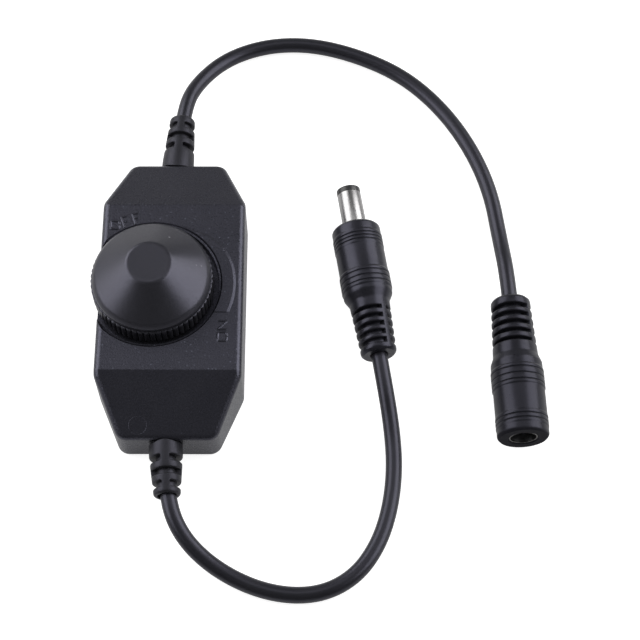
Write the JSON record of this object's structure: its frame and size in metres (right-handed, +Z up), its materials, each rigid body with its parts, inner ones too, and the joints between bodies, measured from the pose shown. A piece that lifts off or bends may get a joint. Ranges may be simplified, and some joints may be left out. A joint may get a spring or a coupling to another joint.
{
  "type": "in-line LED dimmer",
  "caption": "In-line rotary dimmer for low-voltage LED lamps: black case with sloped ends, cone knob with a knurled skirt, slotted strain reliefs, and cords to a barrel plug and socket.",
  "frame": {"origin": "middle of the housing's underside, on the surface that it lies on", "axes": "+Y along the housing towards the input cord's end, +X towards the connectors, +Z up through the knob"},
  "size_m": [0.1008, 0.1429, 0.0259],
  "materials": {
    "case_plastic": "fine moulded grain",
    "knob_plastic": "smooth satin",
    "soft_plastic": "soft satin",
    "cord_jacket": "satin",
    "nickel_plate": "bright nickel plate",
    "tip_plastic": "smooth",
    "board_laminate": "solder mask",
    "moulded_package": "moulded",
    "tinned_lead": "tinned",
    "bare_aluminium": "plain",
    "plated_steel": "zinc plate",
    "cast_bushing": "cast",
    "carbon_film": "printed film",
    "rotor_plastic": "moulded",
    "spring_brass": "rolled",
    "chip_ceramic": "fired",
    "wire_red": "smooth",
    "wire_black": "smooth"
  },
  "bodies": {
    "case": {"upper_housing": "case_plastic", "lower_housing": "case_plastic", "input_boot": "soft_plastic", "output_boot": "soft_plastic", "plug_grip": "soft_plastic", "jack_grip": "soft_plastic", "input_cord": "cord_jacket", "output_cord": "cord_jacket", "plug_barrel": "nickel_plate", "plug_contact": "nickel_plate", "jack_sleeve": "nickel_plate", "jack_pin": "nickel_plate", "plug_insulator": "tip_plastic", "jack_insert": "tip_plastic", "circuit_board": "board_laminate", "power_transistor": "moulded_package", "timer_chip": "moulded_package", "rectifier_diode": "moulded_package", "capacitor_base": "moulded_package", "pot_base": "moulded_package", "transistor_tab": "tinned_lead", "timer_leads": "tinned_lead", "pot_terminals": "tinned_lead", "solder_joints": "tinned_lead", "capacitor_can": "bare_aluminium", "pot_cover": "plated_steel", "pot_bushing": "cast_bushing", "pot_track": "carbon_film", "chip_resistors": "chip_ceramic", "chip_capacitors": "chip_ceramic", "input_positive_wire": "wire_red", "output_positive_wire": "wire_red", "input_negative_wire": "wire_black", "output_negative_wire": "wire_black"},
    "dial": {"knob": "knob_plastic", "pot_shaft": "bare_aluminium", "pot_rotor": "rotor_plastic", "pot_wiper": "spring_brass"}
  },
  "joints": [
    {"name": "knob_turn", "type": "hinge", "parent": "case", "child": "dial", "pos_m": [-0.004, 0.0004, 0.0139], "axis": [0, 0, -1], "range_deg": [0, 300]}
  ]
}
